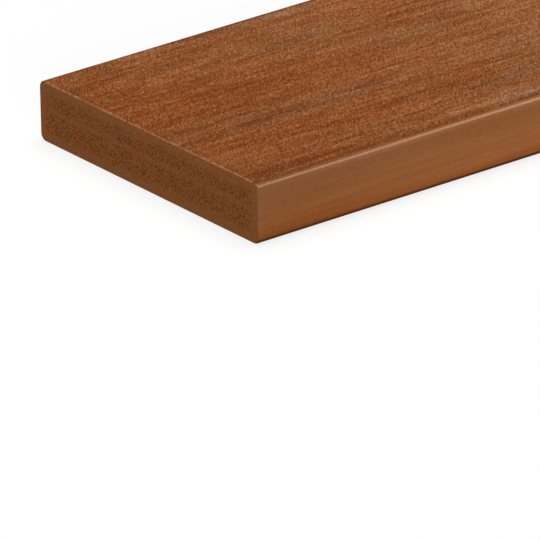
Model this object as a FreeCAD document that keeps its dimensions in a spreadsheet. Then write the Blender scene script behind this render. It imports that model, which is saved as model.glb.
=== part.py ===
import FreeCAD, Part
import math
import os

import Sketcher

# Decking board: one solid length of extruded stock, lying flat with its good face up.
# +X runs along the board, +Y across it and +Z up. The origin is on the underside, at its middle.

# Driving sizes in millimetres, with what each one is on the real board.
SIZES = [
    ("board_length", 2438.4, "stock length, 8 ft"),
    ("board_width", 139.7, "across the face, 5 1/2 in"),
    ("board_thickness", 25.4, "underside to face, 1 in"),
    ("edge_radius", 3.0, "rounding of the four long edges"),
    ("arris_radius", 0.5, "easing round each sawn end"),
]
BOARD_NODE = "decking_board"
PARTS_FOLDER = "parts"


def add_size_sheet(doc):
    """The spreadsheet that holds the driving sizes, one aliased cell for each."""
    sheet = doc.addObject("Spreadsheet::Sheet", "Sizes")
    for row, (alias, value, meaning) in enumerate(SIZES, start=1):
        sheet.set(f"A{row}", alias)
        sheet.set(f"B{row}", str(value))
        sheet.setAlias(f"B{row}", alias)
        sheet.set(f"C{row}", meaning)
    doc.recompute()
    return sheet


def origin_plane(body, role):
    """One of the body's own origin planes, found by its role."""
    return next(feature for feature in body.Origin.OriginFeatures if feature.Role == role)


def add_section(body, sheet):
    """The extrusion's section: a rectangle with four equal round corners, its underside on the Y axis."""
    half_width = sheet.board_width / 2
    height = sheet.board_thickness
    middle = height / 2
    radius = sheet.edge_radius
    sketch = body.newObject("Sketcher::SketchObject", "Section")
    sketch.AttachmentSupport = [(origin_plane(body, "YZ_Plane"), "")]
    sketch.MapMode = "FlatFace"

    def corner(side_y, side_z, start_degrees):
        """A quarter circle at one corner, anticlockwise from its start angle."""
        centre_y = side_y * (half_width - radius)
        centre_z = middle + side_z * (middle - radius)
        circle = Part.Circle(FreeCAD.Vector(centre_y, centre_z, 0), FreeCAD.Vector(0, 0, 1), radius)
        return Part.ArcOfCircle(circle, math.radians(start_degrees), math.radians(start_degrees + 90))

    # Corner arcs, then the straight sides between them, both anticlockwise from the underside.
    arcs = [corner(1, -1, 270), corner(1, 1, 0), corner(-1, 1, 90), corner(-1, -1, 180)]
    sides = [Part.LineSegment(arcs[i - 1].EndPoint, arcs[i].StartPoint) for i in range(4)]
    underside, right_side, face, left_side = sketch.addGeometry(sides, False)
    corners = sketch.addGeometry(arcs, False)

    start_point, end_point = 1, 2
    across_axis, up_axis = -1, -2
    for line, arc, next_line in zip(
        (underside, right_side, face, left_side),
        corners,
        (right_side, face, left_side, underside),
    ):
        sketch.addConstraint(Sketcher.Constraint("Tangent", line, end_point, arc, start_point))
        sketch.addConstraint(Sketcher.Constraint("Tangent", arc, end_point, next_line, start_point))
    sketch.addConstraint(Sketcher.Constraint("Horizontal", face))
    for upright_line in (right_side, left_side):
        sketch.addConstraint(Sketcher.Constraint("Vertical", upright_line))
    for arc in corners[1:]:
        sketch.addConstraint(Sketcher.Constraint("Equal", corners[0], arc))
    on_floor = Sketcher.Constraint("PointOnObject", underside, start_point, across_axis)
    centred = Sketcher.Constraint("Symmetric", underside, start_point, underside, end_point, up_axis)
    sketch.addConstraint([on_floor, centred])

    # The three sizes of the section, each bound to its cell.
    width = Sketcher.Constraint("DistanceX", left_side, start_point, right_side, start_point, 2 * half_width)
    thickness = Sketcher.Constraint("DistanceY", underside, start_point, face, start_point, height)
    rounding = Sketcher.Constraint("Radius", corners[0], radius)
    for name, alias, constraint in (
        ("width", "board_width", width),
        ("thickness", "board_thickness", thickness),
        ("rounding", "edge_radius", rounding),
    ):
        sketch.renameConstraint(sketch.addConstraint(constraint), name)
        sketch.setExpression(f"Constraints.{name}", f"Sizes.{alias}")
    return sketch


def sawn_ends(shape):
    """Names of the two flat faces across the board's length."""
    box = shape.BoundBox
    names = []
    for number, face in enumerate(shape.Faces, start=1):
        along = face.BoundBox
        if along.XLength < Part.Precision.confusion() and along.YLength > box.YLength / 2:
            names.append(f"Face{number}")
    return names


def add_board(doc, sheet):
    """The board: its section run out to the stock length, with both sawn ends eased."""
    body = doc.addObject("PartDesign::Body", BOARD_NODE)
    body.Label = BOARD_NODE

    run = body.newObject("PartDesign::Pad", "StockLength")
    run.Profile = add_section(body, sheet)
    run.SideType = "Symmetric"
    run.setExpression("Length", "Sizes.board_length")
    doc.recompute()

    easing = body.newObject("PartDesign::Fillet", "EasedEnds")
    easing.Base = (run, sawn_ends(run.Shape))
    easing.setExpression("Radius", "Sizes.arris_radius")
    doc.recompute()
    return body


def check(doc, bodies):
    """Stops before anything is written if a feature failed or a solid is not sound."""
    for item in doc.Objects:
        if "Invalid" in item.State or "Error" in item.State:
            raise RuntimeError(f"{item.Label} failed: {item.State}")
    for body in bodies:
        if body.Shape.isNull() or not body.Shape.isValid() or len(body.Shape.Solids) != 1:
            raise RuntimeError(f"{body.Label} is not one sound solid")


def main():
    doc = FreeCAD.newDocument("DeckingBoard")
    sheet = add_size_sheet(doc)
    bodies = [add_board(doc, sheet)]
    check(doc, bodies)
    os.makedirs(PARTS_FOLDER, exist_ok=True)
    for body in bodies:
        body.Shape.exportStep(os.path.join(PARTS_FOLDER, f"{body.Label}.step"))
        box = body.Shape.optimalBoundingBox()
        print(f"{body.Label}: {box.XLength:.2f} x {box.YLength:.2f} x {box.ZLength:.2f} mm, "
              f"{body.Shape.Volume:.0f} cubic mm")


main()
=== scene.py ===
"""Looks of a solid decking board: a pressed wood-grain face, satin long edges and finely pored sawn ends."""
import math

import bmesh
import bpy
from mathutils import Matrix, Vector, noise


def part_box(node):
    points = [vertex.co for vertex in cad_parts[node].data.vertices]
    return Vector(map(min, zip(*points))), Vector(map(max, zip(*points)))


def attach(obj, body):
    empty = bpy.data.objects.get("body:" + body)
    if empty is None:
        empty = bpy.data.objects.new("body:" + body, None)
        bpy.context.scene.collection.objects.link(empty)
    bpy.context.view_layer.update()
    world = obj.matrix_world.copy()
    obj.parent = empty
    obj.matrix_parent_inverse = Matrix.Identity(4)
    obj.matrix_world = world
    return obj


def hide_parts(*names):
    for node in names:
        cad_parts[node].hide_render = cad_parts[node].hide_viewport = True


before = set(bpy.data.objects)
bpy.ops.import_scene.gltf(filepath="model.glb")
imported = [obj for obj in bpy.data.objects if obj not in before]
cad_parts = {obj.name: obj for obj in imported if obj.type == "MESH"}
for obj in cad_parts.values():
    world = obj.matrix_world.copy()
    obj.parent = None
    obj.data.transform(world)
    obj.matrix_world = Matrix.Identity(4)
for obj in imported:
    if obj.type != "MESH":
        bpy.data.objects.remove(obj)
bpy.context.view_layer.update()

MM = 0.001

# The board, as the frame gives it, and the roundings of its long edges and of its ends.
BOARD_NODE = "decking_board"
BOARD_LOW, BOARD_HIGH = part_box(BOARD_NODE)
BOARD_SIZE = BOARD_HIGH - BOARD_LOW
BOARD_LENGTH, BOARD_WIDTH, BOARD_THICKNESS = BOARD_SIZE
FACE_TOP = BOARD_HIGH.z
NEAR_END = BOARD_LOW.x
EDGE_RADIUS = 3.0 * MM
EDGE_STEPS = 6
ARRIS_RADIUS = 0.5 * MM
ARRIS_STEPS = 3
FLAT_WIDTH = BOARD_WIDTH - 2 * EDGE_RADIUS
FLAT_HALF = FLAT_WIDTH / 2

# Grid of the walking face, and the grain that is pressed into it: grooves that come and go in patches, and
# hairlines. Each of the three is read from a sheet of its own in the same noise.
GRID_ALONG = 6.0 * MM
GRID_ACROSS = 0.66 * MM
GRAIN_DEPTH = 0.18 * MM
GRAIN_MARGIN = 1.0 * MM
GRAIN_MIDDLE = 0.4
GROOVE_LENGTH, GROOVE_WIDTH, GROOVE_SHEET = 45 * MM, 2.4 * MM, 11.0
HAIR_LENGTH, HAIR_WIDTH, HAIR_SHEET = 18 * MM, 1.7 * MM, 23.0
HAIR_SHARE = 0.35
PATCH_LENGTH, PATCH_WIDTH, PATCH_SHEET = 80 * MM, 12 * MM, 3.0
PATCH_MIDDLE = 0.5

# Which faces take which finish, by the way they face.
SKIN, SAWN, UNDERSIDE = 0, 1, 2
SAWN_FACING = 0.98
DOWN_FACING = 0.35

# How much more the large flat faces count in the shading than the narrow ones of the roundings.
FLAT_FACE_WEIGHT = 100

# Brown pigments of the PVC, greyish and orange, from the dark of a pit to the pale of a fleck.
PIT_GREY, PIT_WARM = "#632F07", "#732D00"
FLECK_GREY, FLECK_WARM = "#AA8267", "#BA8057"
PIT_TONE, FLECK_TONE = 0.2, 1.3
TONE_MIDDLE, WARMTH_MIDDLE = 0.70, 0.5
EYE_GAMMA = 2.2
PVC_IOR = 1.5

# Main pigment streaks by the near end. Each has its place in from the end and across the face, half its
# length and half its width, in millimetres, and how much paler and how much warmer it is than the rest.
STREAKS = [
    (38, -18, 34, 5, -0.08, -0.38),
    (88, -21, 22, 5, 0.05, -0.36),
    (30, 41, 60, 7, 0.04, 0.45),
    (84, 28, 40, 4, 0.07, 0.35),
    (48, 14, 30, 5, -0.10, 0.20),
    (80, -2, 45, 6, 0.04, 0.30),
    (132, -31, 45, 4, -0.03, 0.10),
    (98, 53, 30, 5, 0.03, -0.30),
    (152, 37, 25, 5, -0.10, 0.30),
    (185, 22, 25, 6, 0.12, -0.15),
    (145, -47, 30, 7, 0.03, -0.36),
    (15, 56, 40, 7, 0.06, -0.20),
    (45, 61, 50, 6, 0.18, 0.0),
    (125, 63, 55, 5, 0.12, 0.0),
    (20, -64, 45, 8, -0.30, -0.20),
    (110, -64, 75, 6, 0.18, -0.25),
]

# Streaks that the die drew along the sides, broad patches of pigment, and how far in from an end the painted
# fall-off of light reaches.
DIE_LUMP = (80 * MM, 2.5 * MM, 2.5 * MM)
PATCH_LUMP = (160 * MM, 24 * MM, 24 * MM)
LIGHT_FALLOFF_REACH = 220 * MM

# A noise keeps mostly between these two values.
NOISE_LOW, NOISE_HIGH = 0.3, 0.7

# Camera: a long lens looking down on the near sawn end.
CAMERA_PLACE = Vector((-3.1669, -2.6269, 1.3703))
CAMERA_AZIMUTH = math.radians(-37.37)
CAMERA_ELEVATION = math.radians(23.24)
CAMERA_ROLL = math.radians(-1.08)
CAMERA_LENS = 610.9
CAMERA_SENSOR = 36.0
CAMERA_REACH = 500.0


def srgb(code, alpha=1.0):
    """An sRGB hex colour as linear red, green, blue and alpha."""
    parts = [int(code[i : i + 2], 16) / 255 for i in (1, 3, 5)]
    linear = [p / 12.92 if p <= 0.04045 else ((p + 0.055) / 1.055) ** 2.4 for p in parts]
    return (*linear, alpha)


def add(tree, kind, inputs=None, **settings):
    """Adds a node, makes its settings, and fills its inputs with values or with other nodes' outputs."""
    node = tree.nodes.new("ShaderNode" + kind)
    for name, value in settings.items():
        setattr(node, name, value)
    for key, value in (inputs or {}).items():
        if isinstance(value, bpy.types.NodeSocket):
            tree.links.new(value, node.inputs[key])
        else:
            node.inputs[key].default_value = value
    return node


def new_material(name):
    """An empty node material, with its tree and output node."""
    material = bpy.data.materials.new(name)
    material.use_nodes = True
    tree = material.node_tree
    tree.nodes.clear()
    return material, tree, add(tree, "OutputMaterial")


# Board mesh


def runs_along(edge):
    """Whether an edge runs the length of the board."""
    return abs(edge.verts[0].co.x - edge.verts[1].co.x) > BOARD_LENGTH / 2


def crosses_face(edge):
    """Whether an edge crosses the walking face or the easing of its ends."""
    slack, most = 1.01, 0.9
    first, last = (vert.co for vert in edge.verts)
    on_top = min(first.z, last.z) > FACE_TOP - slack * ARRIS_RADIUS
    return on_top and abs(first.y - last.y) > most * FLAT_WIDTH


def grain(x, y):
    """Depth of the pressed grain at a place on the face, from 0 to 1: grooves in patches, and hairlines."""
    def layer(along, across, sheet):
        return noise.noise(Vector((x / along, y / across, sheet)))

    patch = min(1.0, max(0.0, PATCH_MIDDLE + layer(PATCH_LENGTH, PATCH_WIDTH, PATCH_SHEET)))
    groove = patch * layer(GROOVE_LENGTH, GROOVE_WIDTH, GROOVE_SHEET)
    hair = HAIR_SHARE * layer(HAIR_LENGTH, HAIR_WIDTH, HAIR_SHEET)
    return min(1.0, max(0.0, GRAIN_MIDDLE + groove + hair))


def press_grain(shape):
    """Presses the grain into the walking face, fading out before its edges."""
    half_length = BOARD_LENGTH / 2 - ARRIS_RADIUS
    for vert in shape.verts:
        x, y, z = vert.co
        inside = min(FLAT_HALF - abs(y), half_length - abs(x))
        if inside > 0 and z > FACE_TOP - ARRIS_RADIUS / 2:
            fade = min(1.0, inside / GRAIN_MARGIN)
            vert.co.z = z - GRAIN_DEPTH * fade * grain(x, y)


def finish_of(face):
    """Which finish a face of the board takes. The skin wraps each end's easing."""
    if abs(face.normal.x) > SAWN_FACING:
        return SAWN
    return UNDERSIDE if face.normal.z < -DOWN_FACING else SKIN


def board_piece():
    """The board: a rounded section run to length, its ends eased and its face pressed with grain."""
    shape = bmesh.new()
    bmesh.ops.create_cube(shape, size=1.0)
    bmesh.ops.scale(shape, vec=BOARD_SIZE, verts=shape.verts)
    bmesh.ops.translate(shape, vec=(BOARD_LOW + BOARD_HIGH) / 2, verts=shape.verts)
    rounding = {"affect": "EDGES", "profile": 0.5, "material": -1, "clamp_overlap": False}
    long_edges = [edge for edge in shape.edges if runs_along(edge)]
    bmesh.ops.bevel(shape, geom=long_edges, offset=EDGE_RADIUS, segments=EDGE_STEPS, **rounding)
    end_edges = [edge for edge in shape.edges if edge.verts[0].co.x == edge.verts[1].co.x]
    bmesh.ops.bevel(shape, geom=end_edges, offset=ARRIS_RADIUS, segments=ARRIS_STEPS, **rounding)

    # Rings along the length, then strips across the face, for the grain.
    long_edges = [edge for edge in shape.edges if runs_along(edge)]
    bmesh.ops.subdivide_edges(shape, edges=long_edges, cuts=round(BOARD_LENGTH / GRID_ALONG))
    across = [edge for edge in shape.edges if crosses_face(edge)]
    bmesh.ops.subdivide_edges(shape, edges=across, cuts=round(FLAT_WIDTH / GRID_ACROSS))
    press_grain(shape)

    for face in shape.faces:
        face.smooth = True
        face.material_index = finish_of(face)
    mesh = bpy.data.meshes.new("board")
    shape.to_mesh(mesh)
    shape.free()
    piece = bpy.data.objects.new("board", mesh)
    bpy.context.scene.collection.objects.link(piece)
    even = piece.modifiers.new("flat_faces_stay_flat", "WEIGHTED_NORMAL")
    even.mode = "FACE_AREA"
    even.weight = FLAT_FACE_WEIGHT
    return piece


# Finishes. A tone says how pale the brown is and a warmth how orange, and each is a sum of layers.


def mottle(tree, place, lump, swing, detail=1.0, shift=0.0, turn=0.0):
    """A cloudy pattern with lumps so long, wide and high, swinging that far to either side of nought.

    Detail roughens the lumps, and a shift keeps one pattern from following another.
    """
    laid = add(
        tree,
        "Mapping",
        {"Vector": place, "Location": (shift, shift, shift), "Rotation": (0, 0, turn), "Scale": lump},
        vector_type="TEXTURE",
    )
    cloud = add(tree, "TexNoise", {"Vector": laid.outputs["Vector"], "Scale": 1.0, "Detail": detail})
    usual = {"From Min": NOISE_LOW, "From Max": NOISE_HIGH, "To Min": -swing, "To Max": swing}
    return add(tree, "MapRange", {"Value": cloud.outputs["Fac"], **usual}, clamp=False).outputs["Result"]


def layered(tree, base, *layers):
    """A value built up from a base and layers, each a pattern with the share or the mask it shows through."""
    total = base
    for pattern, share in layers:
        total = add(tree, "Math", {0: pattern, 1: share, 2: total}, operation="MULTIPLY_ADD").outputs["Value"]
    return total


def pigment(tree, tone, warmth):
    """The PVC's brown: from pit to fleck by its tone, and from greyish to orange by its warmth.

    It is mixed in values that step evenly to the eye, and then turned back to light.
    """
    def to_eye(code):
        return [part ** (1 / EYE_GAMMA) for part in srgb(code)]

    share = add(
        tree, "MapRange", {"Value": tone, "From Min": PIT_TONE, "From Max": FLECK_TONE}
    ).outputs["Result"]
    pit = add(
        tree, "Mix", {"Factor": warmth, "A": to_eye(PIT_GREY), "B": to_eye(PIT_WARM)}, data_type="RGBA"
    ).outputs["Result"]
    fleck = add(
        tree, "Mix", {"Factor": warmth, "A": to_eye(FLECK_GREY), "B": to_eye(FLECK_WARM)}, data_type="RGBA"
    ).outputs["Result"]
    brown = add(tree, "Mix", {"Factor": share, "A": pit, "B": fleck}, data_type="RGBA").outputs["Result"]
    return add(tree, "Gamma", {"Color": brown, "Gamma": EYE_GAMMA}).outputs["Color"]


def main_streaks(tree, place):
    """How much paler and warmer the main streaks make the cap, each a soft and slightly wavy lens."""
    wave_lump, wave_swing = (30 * MM, 12 * MM, 12 * MM), 3 * MM
    wave = mottle(tree, place, wave_lump, wave_swing, shift=0.6)
    sideways = add(tree, "CombineXYZ", {"Y": wave}).outputs["Vector"]
    waved = add(tree, "VectorMath", {0: place, 1: sideways}, operation="ADD").outputs["Vector"]
    paler, warmer = 0.0, 0.0
    for inward, across, half_length, half_width, pale, warm in STREAKS:
        centre = (NEAR_END + inward * MM, across * MM, FACE_TOP)
        reach = (half_length * MM, half_width * MM, BOARD_THICKNESS)
        lens = add(
            tree, "Mapping", {"Vector": waved, "Location": centre, "Scale": reach}, vector_type="TEXTURE"
        ).outputs["Vector"]
        away = add(tree, "VectorMath", {0: lens}, operation="LENGTH").outputs["Value"]
        body = add(
            tree, "MapRange", {"Value": away, "To Min": 1.0, "To Max": 0.0}, interpolation_type="SMOOTHSTEP"
        ).outputs["Result"]
        paler = layered(tree, paler, (body, pale))
        warmer = layered(tree, warmer, (body, warm))
    return paler, warmer


def pressed_share(tree, place, height, from_middle):
    """1 where the roll pressed the cap, on the face and just round its edge, and 0 below an uneven border."""
    border_low, border_high = FACE_TOP - 0.54 * MM, FACE_TOP - 0.30 * MM
    border_lump, border_swing = (12 * MM, 3 * MM, 3 * MM), 0.22 * MM
    wander_full = FLAT_HALF + 0.8 * MM
    wander = mottle(tree, place, border_lump, border_swing, detail=2.0, shift=0.1)
    on_rounding = add(
        tree, "MapRange", {"Value": from_middle, "From Min": FLAT_HALF, "From Max": wander_full}
    ).outputs["Result"]
    uneven = layered(tree, height, (wander, on_rounding))
    return add(
        tree, "MapRange", {"Value": uneven, "From Min": border_low, "From Max": border_high}
    ).outputs["Result"]


def painted_edge_shade(tree, height, from_middle):
    """The tone of a painted shade beside each long edge of the face, where it turns into the rounding."""
    line_place, line_half, line_fade = BOARD_WIDTH / 2 - 2.3 * MM, 0.6 * MM, 1.7 * MM
    edge_shade_dark = -0.24
    top_low, top_high = FACE_TOP - 6 * MM, FACE_TOP - 3 * MM
    off_line = add(tree, "Math", {0: from_middle, 1: line_place}, operation="SUBTRACT").outputs["Value"]
    off_line = add(tree, "Math", {0: off_line}, operation="ABSOLUTE").outputs["Value"]
    edge_shade_tone = add(
        tree,
        "MapRange",
        {"Value": off_line, "From Min": line_half, "From Max": line_fade, "To Min": edge_shade_dark, "To Max": 0.0},
    ).outputs["Result"]
    on_top = add(
        tree, "MapRange", {"Value": height, "From Min": top_low, "From Max": top_high}
    ).outputs["Result"]
    return add(tree, "Math", {0: edge_shade_tone, 1: on_top}, operation="MULTIPLY").outputs["Value"]


def cut_highlight(tree, height, to_end):
    """Share of a painted highlight: 1 along the line where the saw cut meets the face, and 0 further in and
    further down.
    """
    highlight_full, highlight_gone = 0.35 * MM, 0.75 * MM
    highlight_low, highlight_high = FACE_TOP - 1.0 * MM, FACE_TOP - 0.5 * MM
    by_cut = add(
        tree,
        "MapRange",
        {"Value": to_end, "From Min": highlight_full, "From Max": highlight_gone, "To Min": 1.0, "To Max": 0.0},
    ).outputs["Result"]
    by_face = add(
        tree, "MapRange", {"Value": height, "From Min": highlight_low, "From Max": highlight_high}
    ).outputs["Result"]
    return add(tree, "Math", {0: by_cut, 1: by_face}, operation="MULTIPLY").outputs["Value"]


def face_layers(tree, place, height, to_end):
    """Tone and warmth of the pressed face: fibres, grooves, streaks, and dim by the saw cut."""
    fibre_lump, fibre_swing = (16 * MM, 1.7 * MM, 1.7 * MM), 0.11
    groove_dark, ridge_pale = -0.08, 0.05
    fibres = mottle(tree, place, fibre_lump, fibre_swing, detail=0.0, shift=0.9)
    groove_tone = add(
        tree,
        "MapRange",
        {
            "Value": height,
            "From Min": FACE_TOP - GRAIN_DEPTH,
            "From Max": FACE_TOP,
            "To Min": groove_dark,
            "To Max": ridge_pale,
        },
    ).outputs["Result"]

    # Sparse dark lines, where the pigment ran thin along the board.
    thin_lump, thinnest, thin_start, thin_dark = (60 * MM, 2.2 * MM, 2.2 * MM), -1.0, -0.4, -0.12
    thin = mottle(tree, place, thin_lump, 1.0, shift=1.1)
    thin_tone = add(
        tree,
        "MapRange",
        {"Value": thin, "From Min": thinnest, "From Max": thin_start, "To Min": thin_dark, "To Max": 0.0},
    ).outputs["Result"]

    dim_full, dim_gone, dim_tone = 0.5 * MM, 4.0 * MM, -0.14
    cut_tone = add(
        tree,
        "MapRange",
        {"Value": to_end, "From Min": dim_full, "From Max": dim_gone, "To Min": dim_tone, "To Max": 0.0},
    ).outputs["Result"]

    # Streaks and patches of a greyer or a more orange pigment, and a slow drift to a warmer end, which is
    # painted light: the paler, pinker sheen further in fades towards the ends.
    streak_lump, streak_swing, streak_warm = (60 * MM, 5 * MM, 5 * MM), 0.045, 0.33
    patch_warm, end_warm, inner_warm = 0.2, 0.20, 0.06
    streaks = mottle(tree, place, streak_lump, streak_swing, detail=2.0, shift=0.4)
    streak_warmth = mottle(tree, place, streak_lump, streak_warm, shift=0.7)
    patch_warmth = mottle(tree, place, PATCH_LUMP, patch_warm, shift=0.8)
    sheen_falloff_warmth = add(
        tree,
        "MapRange",
        {"Value": to_end, "From Max": LIGHT_FALLOFF_REACH, "To Min": end_warm, "To Max": inner_warm},
    ).outputs["Result"]
    paler, warmer = main_streaks(tree, place)
    tone = layered(
        tree,
        0.0,
        (fibres, 1.0),
        (groove_tone, 1.0),
        (thin_tone, 1.0),
        (streaks, 1.0),
        (cut_tone, 1.0),
        (paler, 1.0),
    )
    warmth = layered(
        tree, 0.0, (streak_warmth, 1.0), (sheen_falloff_warmth, 1.0), (patch_warmth, 1.0), (warmer, 1.0)
    )
    return tone, warmth


def side_layers(tree, place, height, to_end):
    """Tone and warmth of the drawn sides: die streaks, painted light across the middle, painted sheen under
    the top edge, painted shade along the bottom and at the cut, and greyer by the top and the cut.
    """
    # Painted light: a paler band across the middle of the side's height, fading above and below it.
    belly_height, belly_half, belly_reach = 12 * MM, 2 * MM, 10 * MM
    belly_lit, belly_rest = 0.105, 0.035
    off_belly = add(tree, "Math", {0: height, 1: belly_height}, operation="SUBTRACT").outputs["Value"]
    off_belly = add(tree, "Math", {0: off_belly}, operation="ABSOLUTE").outputs["Value"]
    painted_middle_light = add(
        tree,
        "MapRange",
        {
            "Value": off_belly,
            "From Min": belly_half,
            "From Max": belly_reach,
            "To Min": belly_lit,
            "To Max": belly_rest,
        },
        interpolation_type="SMOOTHSTEP",
    ).outputs["Result"]

    # A paler band under the top edge, which is painted sheen, and a dark, greyer one along the bottom, which
    # is painted shade.
    sheen_height, sheen_reach, sheen_pale = 22.9 * MM, 2.2 * MM, 0.09
    foot_low, foot_high, foot_shade_dark, foot_shade_grey = 1.2 * MM, 3.8 * MM, -0.26, 1.5
    off_sheen = add(tree, "Math", {0: height, 1: sheen_height}, operation="SUBTRACT").outputs["Value"]
    off_sheen = add(tree, "Math", {0: off_sheen}, operation="ABSOLUTE").outputs["Value"]
    sheen_band = add(
        tree,
        "MapRange",
        {"Value": off_sheen, "From Max": sheen_reach, "To Min": sheen_pale, "To Max": 0.0},
        interpolation_type="SMOOTHSTEP",
    ).outputs["Result"]
    foot_shade = add(
        tree,
        "MapRange",
        {"Value": height, "From Min": foot_low, "From Max": foot_high, "To Min": foot_shade_dark, "To Max": 0.0},
    ).outputs["Result"]

    # Dark right at the saw cut, which is painted shade, then paler and greyer for a few millimetres.
    rim_full, rim_gone, corner_shade_dark = 0.1 * MM, 0.55 * MM, -0.13
    cut_band_full, cut_band_gone, cut_band_pale, cut_band_warm = 0.5 * MM, 4.0 * MM, 0.065, -0.32
    rim = add(
        tree,
        "MapRange",
        {"Value": to_end, "From Min": rim_full, "From Max": rim_gone, "To Min": corner_shade_dark, "To Max": 0.0},
    ).outputs["Result"]
    cut_band = add(
        tree,
        "MapRange",
        {"Value": to_end, "From Min": cut_band_full, "From Max": cut_band_gone, "To Min": 1.0, "To Max": 0.0},
    ).outputs["Result"]

    die_swing, die_warm = 0.08, 0.14
    warm_height, grey_height, low_warm, high_warm = 6 * MM, 22 * MM, 0.62, 0.14
    die_tone = mottle(tree, place, DIE_LUMP, die_swing, detail=2.0, shift=0.2)
    die_warmth = mottle(tree, place, DIE_LUMP, die_warm, detail=2.0, shift=0.3)
    height_warmth = add(
        tree,
        "MapRange",
        {
            "Value": height,
            "From Min": warm_height,
            "From Max": grey_height,
            "To Min": low_warm,
            "To Max": high_warm,
        },
    ).outputs["Result"]
    tone = layered(
        tree, 0.0, (painted_middle_light, 1.0), (sheen_band, 1.0), (foot_shade, 1.0), (rim, 1.0), (die_tone, 1.0), (cut_band, cut_band_pale)
    )
    warmth = layered(
        tree, 0.0, (height_warmth, 1.0), (die_warmth, 1.0), (cut_band, cut_band_warm), (foot_shade, foot_shade_grey)
    )
    return tone, warmth


def capped_skin():
    """Co-extruded PVC cap: matt and finely pebbled where the roll pressed it, satin where the die drew it."""
    material, tree, output = new_material("coextruded_pvc_cap")
    place = add(tree, "TexCoord").outputs["Object"]
    axes = add(tree, "SeparateXYZ", {"Vector": place}).outputs
    height = axes["Z"]
    from_middle = add(tree, "Math", {0: axes["Y"]}, operation="ABSOLUTE").outputs["Value"]
    along = add(tree, "Math", {0: axes["X"]}, operation="ABSOLUTE").outputs["Value"]
    to_end = add(tree, "Math", {0: BOARD_LENGTH / 2, 1: along}, operation="SUBTRACT").outputs["Value"]
    pressed = pressed_share(tree, place, height, from_middle)
    drawn = add(tree, "Math", {0: 1.0, 1: pressed}, operation="SUBTRACT").outputs["Value"]

    # Pebbles and grit, longer on the slant than across it. The real ones are finer: these are drawn as coarse
    # as they need to be to show.
    slant = math.radians(53)
    pebble_lump, pebble_swing, pebble_height = (2.3 * MM, 0.9 * MM, 0.9 * MM), 0.14, 0.06 * MM
    grit_lump, grit_swing, grit_on_sides = (1.35 * MM, 0.53 * MM, 0.53 * MM), 0.21, 0.30
    pebbles = mottle(tree, place, pebble_lump, pebble_swing, detail=0.0, turn=slant)
    grit = mottle(tree, place, grit_lump, grit_swing, detail=0.0, shift=1.5, turn=slant)

    # Broad patches all over, and painted light that falls off to a darker end, which on the sides is weaker
    # and also greyer.
    patch_swing, end_dark, inner_pale = 0.04, -0.16, 0.06
    falloff_on_sides, falloff_grey = 0.55, 2.0
    patches = mottle(tree, place, PATCH_LUMP, patch_swing, shift=0.5)
    light_falloff = add(
        tree,
        "MapRange",
        {"Value": to_end, "From Max": LIGHT_FALLOFF_REACH, "To Min": end_dark, "To Max": inner_pale},
    ).outputs["Result"]
    face_tone, face_warmth = face_layers(tree, place, height, to_end)
    face_tone = layered(tree, face_tone, (pebbles, 1.0), (grit, 1.0), (light_falloff, 1.0))
    side_tone, side_warmth = side_layers(tree, place, height, to_end)
    side_tone = layered(tree, side_tone, (light_falloff, falloff_on_sides), (grit, grit_on_sides))
    side_warmth = layered(tree, side_warmth, (light_falloff, falloff_grey))

    # A painted highlight, pale and greyish, here more and there less, where the saw cut meets the face.
    highlight_lump, highlight_pale, highlight_swing, highlight_warm = (6 * MM, 6 * MM, 6 * MM), 0.62, 0.16, -0.1
    # The painted shade beside each long edge of the face is greyer as well as darker.
    edge_shade_grey = 1.6
    edge_shade = painted_edge_shade(tree, height, from_middle)
    cut_highlight_share = cut_highlight(tree, height, to_end)
    uneven_highlight = mottle(tree, place, highlight_lump, highlight_swing, detail=2.0, shift=1.3)
    highlight_tone = layered(tree, highlight_pale, (uneven_highlight, 1.0))
    tone = layered(
        tree,
        TONE_MIDDLE,
        (patches, 1.0),
        (edge_shade, 1.0),
        (highlight_tone, cut_highlight_share),
        (face_tone, pressed),
        (side_tone, drawn),
    )
    warmth = layered(
        tree,
        WARMTH_MIDDLE,
        (face_warmth, pressed),
        (side_warmth, drawn),
        (cut_highlight_share, highlight_warm),
        (edge_shade, edge_shade_grey),
    )

    satin_rough, matt_rough, satin_swing = 0.36, 0.7, 0.05
    relief = add(tree, "Math", {0: pebbles, 1: pressed}, operation="MULTIPLY").outputs["Value"]
    bump = add(tree, "Bump", {"Strength": 1.0, "Distance": pebble_height, "Height": relief}).outputs["Normal"]
    satin = mottle(tree, place, DIE_LUMP, satin_swing, detail=2.0, shift=0.9)
    roughness = add(
        tree, "MapRange", {"Value": pressed, "To Min": satin_rough, "To Max": matt_rough}
    ).outputs["Result"]
    shader = add(
        tree,
        "BsdfPrincipled",
        {
            "Base Color": pigment(tree, tone, warmth),
            "Roughness": layered(tree, roughness, (satin, drawn)),
            "Normal": bump,
            "IOR": PVC_IOR,
            "Specular IOR Level": 0.12,
        },
    )
    tree.links.new(shader.outputs["BSDF"], output.inputs["Surface"])
    return material


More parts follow.
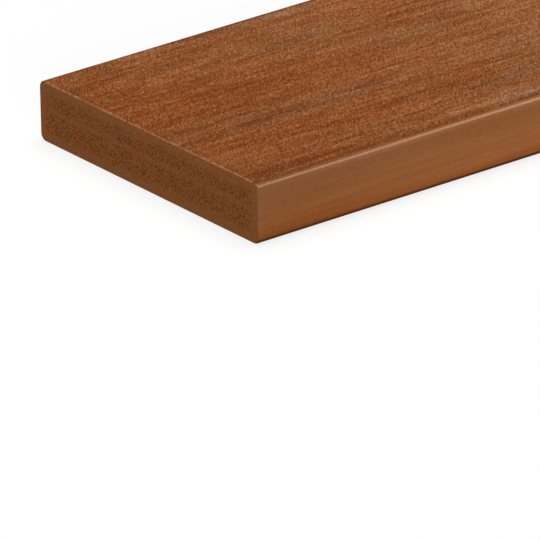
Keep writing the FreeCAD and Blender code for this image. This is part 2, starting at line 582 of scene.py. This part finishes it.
def matt_underside():
    """The cap's underside, rubbed dull by the cooling table: no gloss, fine drag lines lengthwise, and darker
    and greyer as painted shade.
    """
    material, tree, output = new_material("drawn_pvc_underside")
    place = add(tree, "TexCoord").outputs["Object"]
    drag_lump, drag_swing, drag_height = (140 * MM, 1.6 * MM, 1.6 * MM), 0.10, 0.1 * MM
    patch_lump, patch_swing, patch_warm = (220 * MM, 18 * MM, 18 * MM), 0.08, 0.2
    # Darker and greyer than the cap: painted shade on the faces that look down, the bottom roundings among
    # them.
    shaded_tone_middle = 0.37
    drag = mottle(tree, place, drag_lump, drag_swing, detail=2.0, shift=0.2)
    patches = mottle(tree, place, patch_lump, patch_swing, detail=2.0, shift=0.5)
    tone = layered(tree, shaded_tone_middle, (drag, 1.0), (patches, 1.0))
    warmth = mottle(tree, place, patch_lump, patch_warm, detail=2.0, shift=0.8)
    bump = add(tree, "Bump", {"Strength": 1.0, "Distance": drag_height, "Height": drag}).outputs["Normal"]
    shader = add(
        tree,
        "BsdfPrincipled",
        {
            "Base Color": pigment(tree, tone, warmth),
            "Roughness": 0.85,
            "Normal": bump,
            "IOR": PVC_IOR,
            "Specular IOR Level": 0.0,
        },
    )
    tree.links.new(shader.outputs["BSDF"], output.inputs["Surface"])
    return material


def sawn_end():
    """Foamed PVC laid open by the saw: matt, with small dark pores, a paler seam and a dense rim."""
    material, tree, output = new_material("sawn_foamed_pvc")
    place = add(tree, "TexCoord").outputs["Object"]
    axes = add(tree, "SeparateXYZ", {"Vector": place}).outputs
    height = axes["Z"]
    from_middle = add(tree, "Math", {0: axes["Y"]}, operation="ABSOLUTE").outputs["Value"]
    to_side = add(tree, "Math", {0: BOARD_WIDTH / 2, 1: from_middle}, operation="SUBTRACT").outputs["Value"]
    to_top = add(tree, "Math", {0: FACE_TOP, 1: height}, operation="SUBTRACT").outputs["Value"]
    inside = add(tree, "Math", {0: to_top, 1: height}, operation="MINIMUM").outputs["Value"]
    inside = add(tree, "Math", {0: inside, 1: to_side}, operation="MINIMUM").outputs["Value"]

    # Dense rim round the outside, and the seam where the foam closed on itself. Few pores show in either.
    rim_lump, rim_swing, rim_full, rim_gone = (4 * MM, 4 * MM, 3 * MM), 0.8 * MM, 3.0 * MM, 6.0 * MM
    seam_lump, seam_swing, seam_height = (12 * MM, 12 * MM, 6 * MM), 0.4 * MM, 14.3 * MM
    seam_half, seam_gone, seam_share = 0.4 * MM, 1.7 * MM, 0.8
    dense_pores = 0.35
    ragged = mottle(tree, place, rim_lump, rim_swing, shift=0.1)
    ragged_inside = layered(tree, inside, (ragged, 1.0))
    rim = add(
        tree,
        "MapRange",
        {"Value": ragged_inside, "From Min": rim_full, "From Max": rim_gone, "To Min": 1.0, "To Max": 0.0},
    ).outputs["Result"]
    seam_wave = mottle(tree, place, seam_lump, seam_swing, shift=0.2)
    off_seam = add(tree, "Math", {0: height, 1: seam_height}, operation="SUBTRACT").outputs["Value"]
    off_seam = layered(tree, off_seam, (seam_wave, 1.0))
    off_seam = add(tree, "Math", {0: off_seam}, operation="ABSOLUTE").outputs["Value"]
    seam = add(
        tree,
        "MapRange",
        {
            "Value": off_seam,
            "From Min": seam_half,
            "From Max": seam_gone,
            "To Min": seam_share,
            "To Max": 0.0,
        },
    ).outputs["Result"]
    dense = add(tree, "Math", {0: rim, 1: seam}, operation="MAXIMUM").outputs["Value"]
    pored = add(tree, "MapRange", {"Value": dense, "To Min": 1.0, "To Max": dense_pores}).outputs["Result"]

    # Pores, and walls between them that are more even than the pores. The real pores are finer: these are
    # drawn as coarse as they need to be to show.
    pore_lump, pore_floor, wall_start = (1.0 * MM, 1.0 * MM, 0.72 * MM), -1.2, 0.5
    pore_dark, wall_pale, pore_depth = -0.38, 0.155, 0.1 * MM
    cluster_lump, cluster_swing = (5 * MM, 5 * MM, 3 * MM), 0.03
    large_lump, large_floor, large_start, large_dark = (3.0 * MM, 3.0 * MM, 2.0 * MM), -1.0, -0.5, -0.08
    foam_tone, dense_pale = 0.66, 0.79
    cells = mottle(tree, place, pore_lump, 1.0, detail=0.0)
    pores = add(
        tree,
        "MapRange",
        {
            "Value": cells,
            "From Min": pore_floor,
            "From Max": wall_start,
            "To Min": pore_dark,
            "To Max": wall_pale,
        },
    ).outputs["Result"]
    clusters = mottle(tree, place, cluster_lump, cluster_swing, shift=0.3)
    large_cells = mottle(tree, place, large_lump, 1.0, shift=0.4)
    large_pores = add(
        tree,
        "MapRange",
        {
            "Value": large_cells,
            "From Min": large_floor,
            "From Max": large_start,
            "To Min": large_dark,
            "To Max": 0.0,
        },
    ).outputs["Result"]
    pore_tone = layered(tree, 0.0, (pores, 1.0), (clusters, 1.0), (large_pores, 1.0))
    plain_tone = add(
        tree, "MapRange", {"Value": dense, "To Min": foam_tone, "To Max": dense_pale}
    ).outputs["Result"]
    tone = layered(tree, plain_tone, (pore_tone, pored))

    # Warmer and greyer in broad patches, and warmest along the bottom.
    foot_low, foot_high, foot_warm, foam_warm = 1.5 * MM, 6 * MM, 0.80, 0.62
    patch_lump, patch_warm = (10 * MM, 10 * MM, 6 * MM), 0.2
    height_warmth = add(
        tree,
        "MapRange",
        {
            "Value": height,
            "From Min": foot_low,
            "From Max": foot_high,
            "To Min": foot_warm,
            "To Max": foam_warm,
        },
    ).outputs["Result"]
    patches = mottle(tree, place, patch_lump, patch_warm, detail=2.0, shift=0.6)
    warmth = layered(tree, height_warmth, (patches, 1.0))
    relief = add(tree, "Math", {0: pores, 1: pored}, operation="MULTIPLY").outputs["Value"]
    bump = add(tree, "Bump", {"Strength": 1.0, "Distance": pore_depth, "Height": relief}).outputs["Normal"]
    shader = add(
        tree,
        "BsdfPrincipled",
        {
            "Base Color": pigment(tree, tone, warmth),
            "Roughness": 0.85,
            "Normal": bump,
            "IOR": PVC_IOR,
            "Specular IOR Level": 0.14,
        },
    )
    tree.links.new(shader.outputs["BSDF"], output.inputs["Surface"])
    return material


# Stage, light and camera


def floor():
    """A wide pale floor that reads as white, keeps the board's shadow and throws little light back."""
    half_span, clearance = 150.0, 0.1 * MM
    floor_grey, glow_white, glow_strength = "#7C7C7C", "#FFFFFF", 0.8
    shape = bmesh.new()
    bmesh.ops.create_grid(shape, x_segments=1, y_segments=1, size=half_span)
    bmesh.ops.translate(shape, vec=(0, 0, -clearance), verts=shape.verts)
    mesh = bpy.data.meshes.new("floor")
    shape.to_mesh(mesh)
    shape.free()
    material, tree, output = new_material("pale_floor")
    ray = add(tree, "LightPath").outputs
    seen = add(tree, "Math", {0: ray["Is Camera Ray"], 1: ray["Is Glossy Ray"]}, operation="MAXIMUM")
    seen = add(tree, "Math", {0: seen.outputs[0], 1: ray["Is Transmission Ray"]}, operation="MAXIMUM")
    plain = add(tree, "BsdfDiffuse", {"Color": srgb(floor_grey)})
    glow = add(tree, "Emission", {"Color": srgb(glow_white), "Strength": glow_strength})
    bright = add(tree, "AddShader", {0: plain.outputs[0], 1: glow.outputs[0]})
    surface = add(tree, "MixShader", {0: seen.outputs[0], 1: plain.outputs[0], 2: bright.outputs[0]})
    tree.links.new(surface.outputs[0], output.inputs["Surface"])
    mesh.materials.append(material)
    piece = bpy.data.objects.new("floor", mesh)
    bpy.context.scene.collection.objects.link(piece)


def far_softbox(name, toward, strength, spread, colour="#FFFFFF"):
    """A soft light so far off that it falls evenly on the whole board, seen over so many degrees."""
    lamp = bpy.data.lights.new(name, "SUN")
    lamp.energy = strength
    lamp.color = srgb(colour)[:3]
    lamp.angle = math.radians(spread)
    light = bpy.data.objects.new(name, lamp)
    light.rotation_euler = Vector(toward).to_track_quat("Z", "Y").to_euler()
    bpy.context.scene.collection.objects.link(light)
    return light


def studio():
    """A broad light overhead, one low before the near corner, and a warm one for the edge's gloss alone."""
    far_softbox("top", toward=(0.15, 0.10, 0.98), strength=2.3, spread=40.0)
    far_softbox("front", toward=(-0.50, -0.84, 0.20), strength=2.5, spread=30.0)
    edge = far_softbox("edge", toward=(0.558, -0.601, 0.572), strength=4.0, spread=16.0, colour="#FFEEDA")
    edge.visible_diffuse = False
    world = bpy.data.worlds.new("surround")
    world.use_nodes = True
    tree = world.node_tree
    tree.nodes.clear()
    glow = add(tree, "Background", {"Color": srgb("#FFFFFF"), "Strength": 0.12})
    tree.links.new(glow.outputs[0], add(tree, "OutputWorld").inputs["Surface"])
    bpy.context.scene.world = world


def camera():
    """The photograph's camera: far off, with a long lens, turned a little about its own axis."""
    level = math.cos(CAMERA_ELEVATION)
    back = Vector(
        (math.sin(CAMERA_AZIMUTH) * level, -math.cos(CAMERA_AZIMUTH) * level, math.sin(CAMERA_ELEVATION))
    )
    right = Vector((0, 0, 1)).cross(back).normalized()
    up = back.cross(right)
    turned_right = math.cos(CAMERA_ROLL) * right + math.sin(CAMERA_ROLL) * up
    turned_up = math.cos(CAMERA_ROLL) * up - math.sin(CAMERA_ROLL) * right
    data = bpy.data.cameras.new("photograph")
    data.lens = CAMERA_LENS
    data.sensor_width = CAMERA_SENSOR
    data.clip_end = CAMERA_REACH
    eye = bpy.data.objects.new("photograph", data)
    axes = Matrix((turned_right, turned_up, back)).transposed()
    eye.matrix_world = Matrix.Translation(CAMERA_PLACE) @ axes.to_4x4()
    bpy.context.scene.collection.objects.link(eye)
    bpy.context.scene.camera = eye


def main():
    """Makes the board and its setting."""
    board = board_piece()
    for material in (capped_skin(), sawn_end(), matt_underside()):
        board.data.materials.append(material)
    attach(board, "root")
    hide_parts(BOARD_NODE)
    floor()
    studio()
    camera()
    bpy.context.scene.view_settings.view_transform = "Standard"


main()
